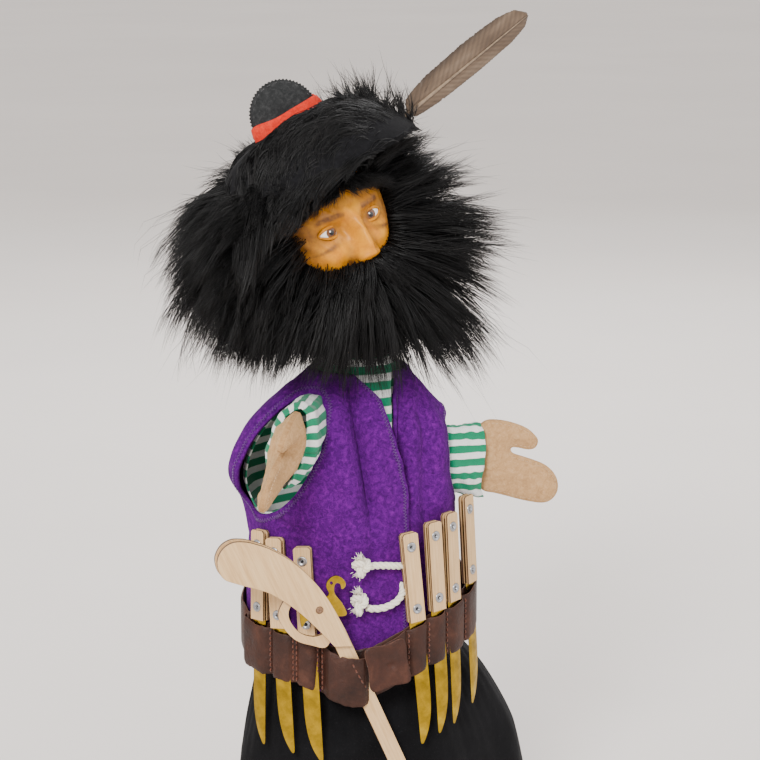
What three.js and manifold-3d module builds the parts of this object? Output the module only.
// A glove puppet of a bearded brigand, in millimetres. +Z is up and the costume faces -Y, so +X is the puppet's
// own left. The origin is on the floor, at the middle of the box round the whole puppet.
import * as THREE from "three";
import { mergeVertices } from "three/addons/utils/BufferGeometryUtils.js";
import Module from "manifold-3d";

// ---- Driving dimensions ----

const GAP = 0.4; // between pieces that touch
const COSTUME = { x: -4.65, y: 1.2 }; // where the costume's own axis stands on the floor

const HEM_Z = 0;
const SKIRT_TOP = 150;
const WAISTCOAT_LOW = 141;
const FLARE = { at: 105, halfAngle: 50, reach: 26, top: 135 }; // the skirt stands out on the puppet's left
const TORSO_HEIGHTS = [175, 200, 212, 225, 240, 255, 270, 282];
const [WAISTCOAT_HIGH, COLLAR_Z] = [289, 296];
const [SHIRT_WALL, SHIRT_GAP] = [1.5, 1.5];
const FELT = 2;

const BELT = { z: 156.8, height: 26, halfWidth: 60.5, halfDepth: 48, leather: 2 };
const BELT_HANG = { sideTilt: 0.095, frontTilt: 0.2, sag: 10.5, sagAt: -14, sagWidth: 24 };
const LOOP = { wall: 4.2, clear: 0.4, above: 1.6, leanIn: 3 };

const KNIFE = { width: 9.2, handle: 48.5, blade: 67, bladeWidth: 8.8, bladeThick: 0.8, scaleThick: 1.6 };
const RIVET = { shank: 1.5, head: 2.6, headThick: 0.5, fromEnd: 7.5, sides: 6 };
const KNIVES = [
  // place round the belt and lean in the belt's plane, in degrees; +1 where the point is on the puppet's left
  { name: "knife_1", at: -64.4, lean: 2, point: 1 },
  { name: "knife_2", at: -49.5, lean: 5, point: 1 },
  { name: "knife_3", at: -34.5, lean: 4, point: 1 },
  { name: "knife_4", at: 18.9, lean: 4.5, point: -1 },
  { name: "knife_5", at: 31, lean: 2, point: -1 },
  { name: "knife_6", at: 42.3, lean: 0.5, point: -1 },
  { name: "knife_7", at: 64, lean: 1, point: -1 },
];

const PISTOL = { pinAt: [-38, -54.5, 175], lean: 23.7, ply: 2.5, pin: 1.9 };
const BARREL = { width: 8.6, offset: 4, from: -16, to: -108 }; // along the pistol, from its pin
const HOLSTER = { from: -29, to: -5, depth: 15, frontY: -58 };
const TAB = { place: [9, -58.6, 144], width: 21.5, height: 23, thick: 1.8, turn: 3, slope: 9 };

const NECK = { pivot: [0, 0, 292], headCentre: [-24, -3, 369], tubeRadius: 11, tubeWall: 1.5, turn: 18 };
const HEAD = { halfWidth: 35, halfDepth: 39, halfHeight: 44 };
const FUR = { centre: [-6, 8, 356], radii: [93, 80, 68], floor: 297, opening: [24, 46] };
const HAT = { place: [-33, 9, 414], sideLean: -27, backLean: -11, crown: 17, height: 29, felt: 2.4 };
const HAT_DOME = [[17, 0], [38, -7], [50, -20], [56, -31]]; // the brim's radius and drop
const FEATHER = { place: [26, 2, 422], tilt: [-12, 56, 0], length: 86 };

const LEFT_ARM = {
  shoulder: [40, -5, 237],
  azimuth: 84,
  pitch: 0,
  roll: 0,
  length: 24,
  halfHeight: 20,
  halfDepth: 10,
};
const RIGHT_ARM = {
  shoulder: [-40, -26, 259],
  azimuth: -25,
  pitch: 2,
  roll: -15,
  length: 27,
  halfHeight: 24,
  halfDepth: 14,
};
const HAND_THICK = 9;

// ---- Solids ----

const wasm = await Module();
wasm.setup();
const radians = THREE.MathUtils.degToRad;

/** A closed geometry with shared corners and its faces pointing out. */
function closed(geometry) {
  const bare = new THREE.BufferGeometry().setAttribute("position", geometry.getAttribute("position"));
  if (geometry.index) bare.setIndex(geometry.index);
  const merged = mergeVertices(bare, 1e-3);
  const index = merged.index.array;
  const [a, b, c] = [new THREE.Vector3(), new THREE.Vector3(), new THREE.Vector3()];
  const kept = [];
  let volume = 0;
  for (let i = 0; i < index.length; i += 3) {
    const [p, q, r] = index.slice(i, i + 3);
    if (p === q || q === r || r === p) continue;
    kept.push(p, q, r);
    a.fromBufferAttribute(merged.attributes.position, p);
    b.fromBufferAttribute(merged.attributes.position, q);
    c.fromBufferAttribute(merged.attributes.position, r);
    volume += a.dot(b.cross(c));
  }
  if (volume < 0) for (let i = 0; i < kept.length; i += 3) [kept[i], kept[i + 1]] = [kept[i + 1], kept[i]];
  return merged.setIndex(kept);
}

/** The geometry as a solid that can be cut and joined. */
function solid(geometry, matrix = new THREE.Matrix4()) {
  const g = closed(geometry.clone().applyMatrix4(matrix));
  return new wasm.Manifold(
    new wasm.Mesh({
      numProp: 3,
      vertProperties: new Float32Array(g.attributes.position.array),
      triVerts: new Uint32Array(g.index.array),
    }),
  );
}

/** A solid as a geometry again. */
function shape(made) {
  const mesh = made.getMesh();
  return new THREE.BufferGeometry()
    .setAttribute("position", new THREE.BufferAttribute(mesh.vertProperties, 3))
    .setIndex(new THREE.BufferAttribute(mesh.triVerts, 1));
}

/** A matrix that turns by x, y and z degrees and then moves. */
function placed([x, y, z], [rx, ry, rz] = [0, 0, 0]) {
  const turn = new THREE.Euler(radians(rx), radians(ry), radians(rz), "ZYX");
  return new THREE.Matrix4().makeRotationFromEuler(turn).setPosition(x, y, z);
}

function box(size, at, turn) {
  return solid(new THREE.BoxGeometry(...size), placed(at, turn));
}

/** A solid ellipsoid. */
function ellipsoid([x, y, z], radii, matrix = new THREE.Matrix4(), across = 20, up = 14) {
  const ball = new THREE.SphereGeometry(1, across, up).scale(...radii).translate(x, y, z);
  return solid(ball, matrix);
}

/** A prism with its outline in X and Z, as thick as depth, centred on Y = 0. */
function plate(outline, depth, holes = []) {
  const points = outline.getPoints(7);
  if (THREE.ShapeUtils.isClockWise(points)) points.reverse();
  const face = new THREE.Shape(points);
  face.holes = holes;
  const flat = new THREE.ExtrudeGeometry(face, { depth, bevelEnabled: false, curveSegments: 7 });
  return flat.translate(0, 0, -depth / 2).rotateX(Math.PI / 2);
}

function circle(x, y, radius) {
  const path = new THREE.Path();
  path.absarc(x, y, radius, 0, 2 * Math.PI, true);
  return path;
}

/** A material with the piece's colour and finish. */
function material(color, roughness, metalness = 0) {
  return new THREE.MeshStandardMaterial({ color, roughness, metalness });
}

const PLY = material("#d9b98a", 0.6);
const BRASS = material("#c49a2c", 0.35, 1);
const STEEL = material("#b9bcc2", 0.3, 1);
const LEATHER = material("#4a2c25", 0.7);
const PURPLE = material("#5c1a8c", 0.95);
const STRIPES = material("#2f9d78", 0.9);
const BLACK_COTTON = material("#101014", 0.9);
const FUR_BLACK = material("#0b0b0d", 0.8);
const HAT_FELT = material("#1b1b1f", 0.95);
const RED_FELT = material("#e0452c", 0.9);
const HAND_FELT = material("#d3a877", 0.95);
const PAINTED = material("#c8862a", 0.5);
const CARD = material("#a5875c", 0.9);
const CORD = material("#e8dfc8", 0.95);
const QUILL = material("#75604e", 0.8);

const puppet = new THREE.Group();
const costume = new THREE.Group();
costume.position.set(COSTUME.x, COSTUME.y, 0);
puppet.add(costume);

/** Adds a piece to the costume, from a solid or from a closed geometry. */
function piece(name, made, look, parent = costume) {
  const geometry = made.isBufferGeometry ? closed(made) : shape(made);
  const mesh = new THREE.Mesh(geometry, look);
  mesh.name = name;
  parent.add(mesh);
  return mesh;
}

// ---- Soft walls ----

/** Half width, half depth and middle of a soft body at a height, read from a few rows. */
function sectionOf(rows) {
  const curves = [1, 2, 3, 4].map(
    (k) => new THREE.SplineCurve(rows.map((row) => new THREE.Vector2(row[0], row[k]))),
  );
  return (z) => {
    let low = 0;
    while (low < rows.length - 2 && rows[low + 1][0] < z) low += 1;
    const share = (z - rows[low][0]) / (rows[low + 1][0] - rows[low][0]);
    const t = (low + THREE.MathUtils.clamp(share, 0, 1)) / (rows.length - 1);
    const [halfWidth, halfDepth, x, y] = curves.map((curve) => curve.getPoint(t).y);
    return { halfWidth, halfDepth, x, y };
  };
}

/** A closed wall round the Z axis, between two offsets from the section at each height; solid with no inner. */
function wall(section, heights, inner, outer, options = {}) {
  const { sides = 32, lift = () => 0, bulge = () => 0 } = options;
  const [INSIDE, OUTSIDE] = [1, 2];
  const up = heights.map((z) => new THREE.Vector2(OUTSIDE, z));
  const down = heights.map((z) => new THREE.Vector2(INSIDE, z)).reverse();
  const profile =
    inner === null
      ? [new THREE.Vector2(0, heights[0]), ...up, new THREE.Vector2(0, heights.at(-1))]
      : [...up, ...down, up[0].clone()];
  const lathe = new THREE.LatheGeometry(profile, sides);
  const place = lathe.getAttribute("position");
  for (let i = 0; i < place.count; i += 1) {
    const [x, z, y] = [place.getX(i), place.getY(i), place.getZ(i)];
    const radius = Math.hypot(x, y);
    const angle = Math.atan2(x, y);
    const at = section(z);
    const offset = (radius > 1.5 ? outer : inner) + bulge(angle, z);
    const reach = radius < 0.5 ? 0 : 1;
    const newX = at.x + reach * (at.halfWidth + offset) * Math.sin(angle);
    const newY = at.y - reach * (at.halfDepth + offset) * Math.cos(angle);
    place.setXYZ(i, newX, newY, z + lift(newX, newY, z));
  }
  return lathe;
}

/** A wedge round the Z axis from one angle to another, in degrees from the front towards the puppet's left. */
function wedge(from, to, low, high, reach = 160) {
  const outline = new THREE.Shape();
  outline.moveTo(0, 0);
  const steps = Math.max(2, Math.ceil((to - from) / 40));
  for (let i = 0; i <= steps; i += 1) {
    const angle = radians(from + ((to - from) * i) / steps);
    outline.lineTo(reach * Math.sin(angle), -reach * Math.cos(angle));
  }
  const slab = new THREE.ExtrudeGeometry(outline, { depth: high - low, bevelEnabled: false });
  return solid(slab.translate(0, 0, low));
}

const torso = sectionOf([
  [130, 57, 45, -2.5, 0],
  [150, 57.5, 45, -2.5, 0],
  [190, 55, 42, -5, 0],
  [212, 54.5, 41, -5, 0],
  [235, 57.5, 40, -8.5, 0],
  [260, 52, 36, -6, 0],
  [278, 36, 27, -3, 0],
  [294, 20, 18, 0, 0],
  [308, 15, 15, 0, 0],
]);

/** The point on the belt's strap at an angle, that far out from its inner face, and the belt's outward direction. */
function beltAt(degrees, out) {
  const angle = radians(degrees);
  const centre = torso(BELT.z);
  const x = centre.x + (BELT.halfWidth + out) * Math.sin(angle);
  const y = centre.y - (BELT.halfDepth + out) * Math.cos(angle);
  const outward = Math.atan2(Math.sin(angle) / BELT.halfWidth, Math.cos(angle) / BELT.halfDepth);
  return { x, y, z: BELT.z + tilt(x, y), facing: THREE.MathUtils.radToDeg(outward) };
}

/** How far the belt is above its middle: it tips to the front and to the puppet's right, and sags in front. */
function tilt(x, y) {
  const { sideTilt, frontTilt, sag, sagAt, sagWidth } = BELT_HANG;
  const front = THREE.MathUtils.smoothstep(-y, 0, 30);
  return sideTilt * x + frontTilt * y - front * sag * Math.exp(-(((x - sagAt) / sagWidth) ** 2));
}

/** The cloth follows the belt's tilt at the waist and none of it well above and below. */
function sway(x, y, z) {
  const { smoothstep } = THREE.MathUtils;
  return tilt(x, y) * smoothstep(z, 70, 135) * (1 - smoothstep(z, 155, 215));
}

// ---- Costume ----

const armOpenings = [
  solid(
    new THREE.CylinderGeometry(1, 1, 70, 20).scale(14, 1, 24),
    placed([52, -5, 240], [0, 0, 84]),
  ),
  solid(
    new THREE.CylinderGeometry(1, 1, 70, 20).scale(20, 1, 31),
    placed([-45, -33, 252], [0, 18, -25]),
  ),
];

function skirt() {
  const section = sectionOf([
    [HEM_Z, 80, 72, 4, 4],
    [40, 77, 64, 4, 3],
    [80, 71, 52, 3, 1],
    [105, 64, 50, 0, 0],
    [130, 57, 45, -2.5, 0],
    [SKIRT_TOP, 54.5, 42.5, -2.5, 0],
  ]);
  const flare = (angle, z) => {
    const from = THREE.MathUtils.radToDeg(angle) - FLARE.at;
    const share = THREE.MathUtils.clamp(from / FLARE.halfAngle, -1, 1);
    return FLARE.reach * Math.cos((share * Math.PI) / 2) ** 2 * (1 - Math.min(z / FLARE.top, 1) ** 4);
  };
  const heights = [HEM_Z, 40, 80, 105, 130, SKIRT_TOP];
  piece("skirt", wall(section, heights, -FELT, 0, { bulge: flare, lift: sway }), BLACK_COTTON);
}

function shirtAndWaistcoat() {
  const options = { sides: 24, lift: sway };
  const shirtHeights = [SKIRT_TOP + GAP, ...TORSO_HEIGHTS, WAISTCOAT_HIGH, COLLAR_Z];
  let shirt = solid(wall(torso, shirtHeights, -SHIRT_GAP - SHIRT_WALL, -SHIRT_GAP, options));
  const felt = solid(wall(torso, [WAISTCOAT_LOW, ...TORSO_HEIGHTS, WAISTCOAT_HIGH], 0, FELT, options));
  const [leftOpening, rightOpening] = armOpenings;
  shirt = shirt.subtract(leftOpening).subtract(rightOpening);
  piece("shirt_body", shirt, STRIPES);

  // The neckline is a V whose point is on the puppet's left of the middle, where the right front ends.
  const outline = new THREE.Shape();
  outline.moveTo(-14, 300);
  outline.lineTo(28, 300);
  outline.lineTo(19, 236);
  outline.lineTo(13, 236);
  const neckline = solid(plate(outline, 60), placed([0, -40, 0]));
  const cloth = felt.subtract(leftOpening).subtract(rightOpening).subtract(neckline);
  const [low, high] = [100, 320];
  const closing = 20; // degrees from the front, on the puppet's left
  piece("waistcoat_front_right", cloth.intersect(wedge(-72, closing, low, high)), PURPLE);
  piece("waistcoat_front_left", cloth.intersect(wedge(closing + 0.6, 84, low, high)), PURPLE);
  piece("waistcoat_back", cloth.intersect(wedge(84.6, 287.4, low, high)), PURPLE);
}

/** A cord that bridges the waistcoat's edge, with a knot on its free end. */
function lace(name, points, knotRadii) {
  const curve = new THREE.CatmullRomCurve3(points.map((p) => new THREE.Vector3(...p)));
  const section = new THREE.Shape();
  section.absarc(0, 0, 1.9, 0, 2 * Math.PI);
  const rope = solid(
    new THREE.ExtrudeGeometry(section, { steps: 8, curveSegments: 4, extrudePath: curve, bevelEnabled: false }),
  );
  const knot = ellipsoid(points[0], knotRadii, undefined, 10, 8);
  piece(name, rope.add(knot), CORD);
}

function laces() {
  const upper = [[-13, -50, 193.5], [-8, -48.6, 193.4], [0, -47.6, 192.4], [6.5, -46.4, 192]];
  const lower = [[-14.5, -50, 175.5], [-9, -49.4, 172.6], [0, -49.4, 171.4], [5, -49.2, 174], [6, -47.4, 179.5]];
  lace("lace_upper", upper, [5.8, 4.2, 5.4]);
  lace("lace_lower", lower, [4.6, 4, 6.6]);
}

// ---- Belt ----

const beltSection = () => ({ halfWidth: BELT.halfWidth, halfDepth: BELT.halfDepth, x: torso(BELT.z).x, y: 0 });
const [BELT_LOW, BELT_HIGH] = [BELT.z - BELT.height / 2, BELT.z + BELT.height / 2];

/** A band round the belt between two offsets from the strap's inner face. */
function band(inner, outer, drop = 0) {
  return solid(wall(beltSection, [BELT_LOW + drop, BELT_HIGH - drop], inner, outer, { sides: 48, lift: tilt }));
}

/** The place of a knife's own frame: on its loop's top, +Y into the belt and +Z along the handle. */
function knifePlace({ at, lean }) {
  const spot = beltAt(at, BELT.leather + GAP + LOOP.wall / 2);
  return new THREE.Matrix4()
    .makeTranslation(spot.x, spot.y, spot.z)
    .multiply(new THREE.Matrix4().makeRotationZ(radians(spot.facing)))
    .multiply(new THREE.Matrix4().makeRotationY(-radians(lean)))
    .multiply(new THREE.Matrix4().makeRotationX(-radians(LOOP.leanIn)))
    .multiply(new THREE.Matrix4().makeTranslation(0, 0, BELT.height / 2 + LOOP.above));
}

function belt() {
  piece("belt_strap", band(0, BELT.leather), LEATHER);
  const loops = band(BELT.leather + GAP, BELT.leather + GAP + LOOP.wall, 0.5);
  const slit = new THREE.BoxGeometry(
    KNIFE.bladeWidth + 2 * LOOP.clear,
    KNIFE.bladeThick + 2 * LOOP.clear,
    3 * BELT.height,
  );
  const cut = (band, knives) => knives.reduce((left, k) => left.subtract(solid(slit, knifePlace(k))), band);
  const [low, high] = [100, 220];
  piece("belt_loops_right", cut(loops.intersect(wedge(-80, -29.6, low, high)), KNIVES.slice(0, 3)), LEATHER);
  piece("belt_loops_left", cut(loops.intersect(wedge(12.5, 78, low, high)), KNIVES.slice(3)), LEATHER);

  const thick = HOLSTER.depth;
  const round = band(BELT.leather + GAP, BELT.leather + GAP + thick, 0.5);
  const cloth = round.intersect(wedge(HOLSTER.from, HOLSTER.to, low, high));
  const ahead = box([200, 40, 200], [0, HOLSTER.frontY - 20, 150]);
  const slot = new THREE.BoxGeometry(BARREL.width + 2 * GAP, PISTOL.ply + 2 * GAP, 90);
  const channel = solid(slot.translate(BARREL.offset, 0, -45), pistolPlace());
  piece("belt_holster", cloth.subtract(ahead).subtract(channel), LEATHER);

  const tab = new THREE.BoxGeometry(TAB.width, TAB.thick, TAB.height).translate(-TAB.width / 2, 0, 0);
  piece("belt_tab", tab.applyMatrix4(placed(TAB.place, [0, -TAB.slope, TAB.turn])), LEATHER);
}

// ---- Knives ----

/** A blade's outline with its tang, its point on the side given. */
function bladeOutline(point) {
  const [half, length] = [KNIFE.bladeWidth / 2, KNIFE.blade];
  const outline = new THREE.Shape();
  outline.moveTo(-point * half, 0);
  outline.lineTo(-point * half, -length * 0.5);
  outline.quadraticCurveTo(-point * half * 0.9, -length * 0.86, point * half * 0.72, -length);
  outline.quadraticCurveTo(point * half, -length * 0.97, point * half, -length * 0.9);
  outline.lineTo(point * half, 0);
  outline.lineTo(point * half, KNIFE.handle - 2);
  outline.lineTo(-point * half, KNIFE.handle - 2);
  return outline;
}

function rivet(z) {
  const reach = KNIFE.bladeThick / 2 + KNIFE.scaleThick + GAP;
  const shank = new THREE.CylinderGeometry(RIVET.shank, RIVET.shank, 2 * reach, RIVET.sides);
  const head = new THREE.CylinderGeometry(RIVET.head, RIVET.head, RIVET.headThick, RIVET.sides);
  const heads = [-1, 1].map((side) => solid(head, placed([0, side * (reach + RIVET.headThick / 2), z])));
  return heads.reduce((made, one) => made.add(one), solid(shank, placed([0, 0, z])));
}

function knife(spec) {
  const group = new THREE.Group();
  group.applyMatrix4(knifePlace(spec));
  costume.add(group);
  const ends = [RIVET.fromEnd, KNIFE.handle - RIVET.fromEnd];
  let blade = solid(plate(bladeOutline(spec.point), KNIFE.bladeThick));
  for (const z of ends) blade = blade.add(rivet(z));
  piece(`${spec.name}_blade`, blade, BRASS, group);

  const half = KNIFE.width / 2;
  for (const [side, name] of [[-1, "front"], [1, "back"]]) {
    const outline = new THREE.Shape();
    outline.moveTo(-half, 0.4);
    outline.lineTo(half, 0.4);
    outline.lineTo(half, KNIFE.handle - 1);
    outline.lineTo(half - 1.2, KNIFE.handle);
    outline.lineTo(-half + 1.2, KNIFE.handle);
    outline.lineTo(-half, KNIFE.handle - 1);
    const across = (side * (KNIFE.bladeThick + KNIFE.scaleThick + GAP)) / 2;
    const scale = solid(plate(outline, KNIFE.scaleThick), placed([0, across, 0]));
    const hole = new THREE.CylinderGeometry(RIVET.shank + 0.3, RIVET.shank + 0.3, 12, RIVET.sides);
    const drilled = ends.reduce((left, z) => left.subtract(solid(hole, placed([0, 0, z]))), scale);
    piece(`${spec.name}_scale_${name}`, drilled, PLY, group);
  }
}

// ---- Pistol ----

/** The pistol's own frame: its origin on the pin, and -Z along the barrel. */
function pistolPlace() {
  return placed(PISTOL.pinAt, [0, -PISTOL.lean, 0]);
}

function pistol() {
  const group = new THREE.Group();
  group.applyMatrix4(pistolPlace());
  costume.add(group);
  const { ply, pin } = PISTOL;

  const grip = () => {
    const outline = new THREE.Shape();
    outline.moveTo(7.8, -26.3);
    outline.lineTo(7.7, -11.5);
    outline.quadraticCurveTo(6.7, 11.5, -2.7, 31.3);
    outline.quadraticCurveTo(-8.6, 42, -19.8, 51.5);
    outline.absarc(-27.3, 43.5, 10.9, radians(47), radians(226), false);
    outline.lineTo(-20, 21.2);
    outline.quadraticCurveTo(-9.6, 4.8, -0.9, -21.9);
    return outline;
  };
  const pinHole = () => circle(0, 0, pin + 0.3);
  for (const [side, name] of [[-1, "front"], [1, "rear"]]) {
    const stock = plate(grip(), ply, [pinHole()]);
    piece(`pistol_stock_${name}`, stock.translate(0, side * (ply + GAP), 0), PLY, group);
  }

  const { width, offset, from, to } = BARREL;
  const barrel = solid(new THREE.BoxGeometry(width, ply, from - to).translate(offset, 0, (from + to) / 2));
  const guard = new THREE.Shape();
  guard.moveTo(1, -17.4);
  guard.splineThru(
    [[-5, -21], [-11, -16.5], [-17.4, -9.8], [-20.4, 0], [-19.4, 8], [-11, 14.8], [-8.5, 11], [-14.5, 6], [-15.8, 0],
      [-13.6, -7.6], [-8, -12.8], [-2, -13.8]].map((p) => new THREE.Vector2(...p)),
  );
  guard.lineTo(1, -13.4);
  piece("pistol_core", barrel.add(solid(plate(guard, ply))), PLY, group);

  const cock = new THREE.Shape();
  cock.moveTo(8.2, -9.4);
  cock.lineTo(12.4, -10.3);
  cock.quadraticCurveTo(12.6, -4, 11.6, 0.4);
  cock.quadraticCurveTo(11, 3.4, 12.4, 6);
  cock.quadraticCurveTo(14.4, 9, 16, 6);
  cock.lineTo(15.6, 3.2);
  cock.quadraticCurveTo(19.4, 3.6, 18.6, 7.4);
  cock.quadraticCurveTo(17, 12, 12.6, 11.6);
  cock.quadraticCurveTo(8.2, 10.4, 8.6, 5.6);
  cock.lineTo(8.2, 3.4);
  cock.lineTo(0, 4.4);
  cock.quadraticCurveTo(-5, 3.6, -8, 3.2);
  cock.quadraticCurveTo(-11.4, 0, -11.6, -5.6);
  cock.quadraticCurveTo(-9, -3.6, -7.2, -2.8);
  cock.quadraticCurveTo(-3, -4.6, 0, -4.6);
  piece("pistol_cock", plate(cock, 1, [pinHole()]), BRASS, group);

  const dowel = new THREE.CylinderGeometry(pin, pin, 3 * ply + 2 * GAP, 12);
  piece("pistol_pin", dowel, CARD, group);
}

// ---- Arms ----

/** The frame of an arm: its origin at the shoulder, +X along the arm and +Z up towards the thumb. */
function armPlace({ shoulder, azimuth, pitch, roll }) {
  const turn = new THREE.Euler(radians(roll), -radians(pitch), radians(azimuth - 90), "ZYX");
  return new THREE.Matrix4().makeRotationFromEuler(turn).setPosition(...shoulder);
}

/** A mitten with its thumb up, as flat felt with a little stuffing. */
function mittenOutline() {
  const outline = new THREE.Shape();
  const through = (points) => outline.splineThru(points.map((p) => new THREE.Vector2(...p)));
  outline.moveTo(-3, -9);
  outline.lineTo(-3, 9);
  outline.lineTo(0.6, 9);
  outline.lineTo(3.4, 19.6);
  through([[8, 20.8], [22, 17.6], [31, 11.8], [32.8, 6.4], [28, 3.8], [17.8, 5.8]]);
  through([[20, 2], [31, -2.6], [40, -7.6], [44.4, -16.6], [42, -23.6]]);
  through([[35, -26.4], [22, -23.6], [9, -19.6], [3.4, -18.4]]);
  outline.lineTo(0.6, -9);
  return outline;
}

function arm(side, spec) {
  const group = new THREE.Group();
  group.applyMatrix4(armPlace(spec));
  costume.add(group);
  const section = sectionOf([
    [-8, spec.halfDepth - 1, spec.halfHeight - 2, 0, 0],
    [spec.length * 0.5, spec.halfDepth, spec.halfHeight - 1, 0, 0],
    [spec.length, spec.halfDepth - 1, spec.halfHeight, 0, 0],
  ]);
  const tube = wall(section, [-8, spec.length * 0.3, spec.length], -1.6, 0, { sides: 24 });
  piece(`sleeve_${side}`, tube.rotateY(Math.PI / 2).rotateX(Math.PI / 2), STRIPES, group);

  const felt = new THREE.ExtrudeGeometry(mittenOutline(), {
    depth: HAND_THICK - 4,
    bevelThickness: 2,
    bevelSize: 1.5,
    bevelOffset: -1.5,
    bevelSegments: 1,
    curveSegments: 2,
  });
  const hand = felt.translate(spec.length, 0, -(HAND_THICK - 4) / 2).rotateX(Math.PI / 2);
  piece(`hand_${side}`, hand, HAND_FELT, group);
}

// ---- Head ----

const neckPivot = new THREE.Vector3(...NECK.pivot);
const headCentre = new THREE.Vector3(...NECK.headCentre);
const neckAxis = headCentre.clone().sub(neckPivot);
const headUp = neckAxis.length();
const leaning = new THREE.Quaternion().setFromUnitVectors(new THREE.Vector3(0, 0, 1), neckAxis.clone().normalize());
const facing = new THREE.Quaternion().setFromAxisAngle(new THREE.Vector3(0, 0, 1), radians(NECK.turn));
const headPlace = new THREE.Matrix4().makeRotationFromQuaternion(leaning.multiply(facing)).setPosition(neckPivot);

/** A cylinder along the neck's axis, between two distances from the pivot. */
function neckCylinder(radius, from, to, sides) {
  const bar = new THREE.CylinderGeometry(radius, radius, to - from, sides).rotateX(Math.PI / 2);
  return solid(bar.translate(0, 0, (from + to) / 2), headPlace);
}

function neckTube() {
  const { tubeRadius, tubeWall } = NECK;
  const tube = neckCylinder(tubeRadius, -22, 52, 24).subtract(neckCylinder(tubeRadius - tubeWall, -30, 49, 24));
  piece("neck_tube", tube, CARD);
}

function head() {
  const skull = ellipsoid([0, 0, headUp], [HEAD.halfWidth, HEAD.halfDepth, HEAD.halfHeight], headPlace, 20, 14);
  const nose = ellipsoid([0, -HEAD.halfDepth, headUp - 6], [5.5, 9, 11], headPlace, 10, 8);
  const neck = neckCylinder(15, 16, 40, 24);
  const bore = neckCylinder(NECK.tubeRadius + GAP, 0, 53, 24);
  piece("head", skull.add(neck).add(nose).subtract(bore), PAINTED);
}

/** The hat's own frame: its origin in the middle of the crown's base. */
function hatPlace() {
  return placed(HAT.place, [HAT.backLean, HAT.sideLean, 0]);
}

function hat() {
  const { crown, height, felt } = HAT;
  const lathe = (points, sides) =>
    new THREE.LatheGeometry(points.map((p) => new THREE.Vector2(...p)), sides).rotateX(Math.PI / 2);

  const inside = [[crown - 4, 0], ...HAT_DOME];
  const outside = inside.map(([radius, z]) => [radius + (z < 0 ? 1.2 : 0), z + felt]);
  piece("hat_brim", solid(lathe([...inside, ...outside.reverse(), inside[0]], 30), hatPlace()), HAT_FELT);

  const low = felt + GAP;
  const heightAt = (share) => low + share * (height - low);
  const profile = [[0, 0], [1, 0], [0.94, 0.35], [0.9, 0.65], [0.68, 0.9], [0.34, 0.98], [0, 1]];
  const crownShape = lathe(profile.map(([radius, share]) => [crown * radius, heightAt(share)]), 20);
  piece("hat_crown", solid(crownShape.scale(1, 0.6, 1), hatPlace()), HAT_FELT);

  const [inner, outer] = [crown + 1.2, crown + 2.6];
  const ring = lathe([[inner, low], [outer, low], [outer * 0.97, 11], [inner * 0.97, 11], [inner, low]], 20);
  piece("hat_band", solid(ring.scale(1, 0.63, 1), hatPlace()), RED_FELT);
}

/** A feather's outline, with its vane wider on the lower side. */
function featherOutline(length) {
  const outline = new THREE.Shape();
  outline.moveTo(-1, 0);
  outline.lineTo(1.4, 0);
  outline.quadraticCurveTo(6.4, 0.22 * length, 6.2, 0.52 * length);
  outline.quadraticCurveTo(6.8, 0.85 * length, 2, 0.96 * length);
  outline.quadraticCurveTo(-1, 1.02 * length, -3.5, 0.95 * length);
  outline.quadraticCurveTo(-8.5, 0.74 * length, -7.2, 0.52 * length);
  outline.quadraticCurveTo(-5.6, 0.22 * length, -1, 0);
  return outline;
}

function feather() {
  const { place, tilt: turn, length } = FEATHER;
  piece("feather", solid(plate(featherOutline(length), 1.6), placed(place, turn)), QUILL);
}

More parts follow.
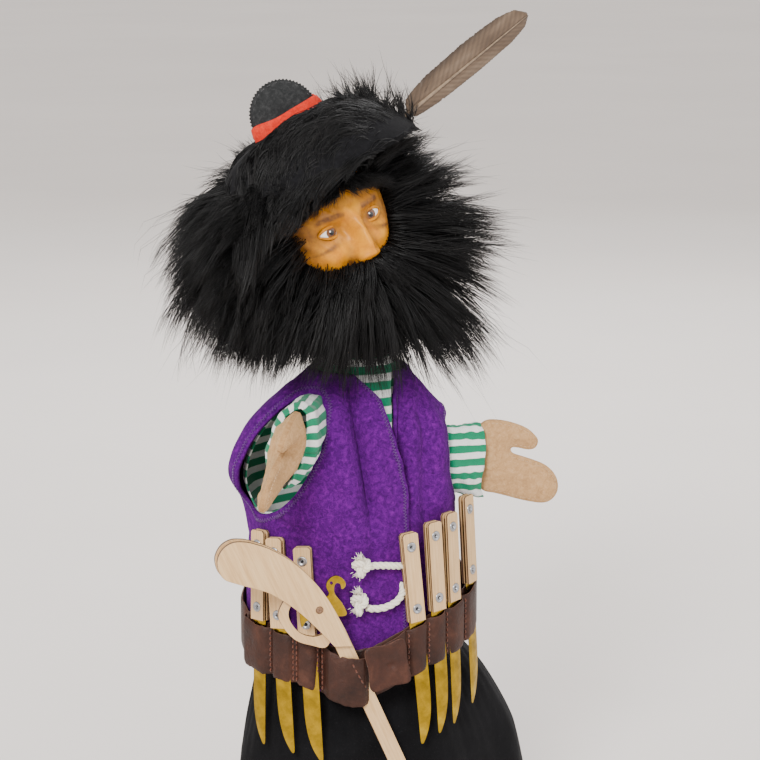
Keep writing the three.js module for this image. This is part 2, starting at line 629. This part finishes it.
function fur() {
  const ball = ellipsoid(FUR.centre, FUR.radii);
  const room = 1;
  const skullRadii = [HEAD.halfWidth + room, HEAD.halfDepth + room, HEAD.halfHeight + room];
  const skull = ellipsoid([0, 0, headUp], skullRadii, headPlace);
  const inHead = (geometry) => solid(geometry, headPlace);
  const [narrow, wide] = FUR.opening;
  const cone = new THREE.CylinderGeometry(narrow, wide, 70, 20);
  const face = inHead(cone.translate(0, -HEAD.halfDepth - 20, headUp));
  const bodyHeights = [WAISTCOAT_LOW, ...TORSO_HEIGHTS, WAISTCOAT_HIGH, COLLAR_Z + 8];
  const shoulders = solid(wall(torso, bodyHeights, null, 10));
  const below = box([300, 300, 200], [0, 0, FUR.floor - 100]);
  const hollow = HAT_DOME.map(([radius, drop]) => [radius - 1, drop - 2.5]);
  const underHat = [[0, -2.5], ...hollow, [72, -34], [72, 60], [0, 60]];
  const hatSpace = new THREE.LatheGeometry(underHat.map((p) => new THREE.Vector2(...p)), 20).rotateX(Math.PI / 2);
  const quill = new THREE.BoxGeometry(20, 6, 110).translate(0, 0, 45);
  const coat = ball
    .subtract(skull)
    .subtract(neckCylinder(18, -10, 50, 16))
    .subtract(face)
    .subtract(shoulders)
    .subtract(below)
    .subtract(solid(hatSpace, hatPlace()))
    .subtract(solid(quill, placed(FEATHER.place, FEATHER.tilt)));

  // The beard is the lower half in front of the ears, and the hair is the rest.
  const beardTop = headUp - 14;
  const front = new THREE.BoxGeometry(300, 140, 140).translate(0, -70, beardTop - 70);
  const lowerFront = (gap) => inHead(front.clone().translate(0, gap, gap));
  piece("beard", coat.intersect(lowerFront(0)), FUR_BLACK);
  piece("hair", coat.subtract(lowerFront(GAP)), FUR_BLACK);

  const lip = ellipsoid([0, -HEAD.halfDepth - 1.5, headUp - 20], [14, 4.5, 3], headPlace, 14, 8);
  const noseRoom = ellipsoid([0, -HEAD.halfDepth, headUp - 6], [6, 9.5, 11.5], headPlace, 10, 8);
  piece("moustache", lip.subtract(skull).subtract(noseRoom), FUR_BLACK);
}

skirt();
shirtAndWaistcoat();
laces();
belt();
pistol();
KNIVES.forEach(knife);
arm("left", LEFT_ARM);
arm("right", RIGHT_ARM);
neckTube();
head();
hat();
feather();
fur();

export default puppet;
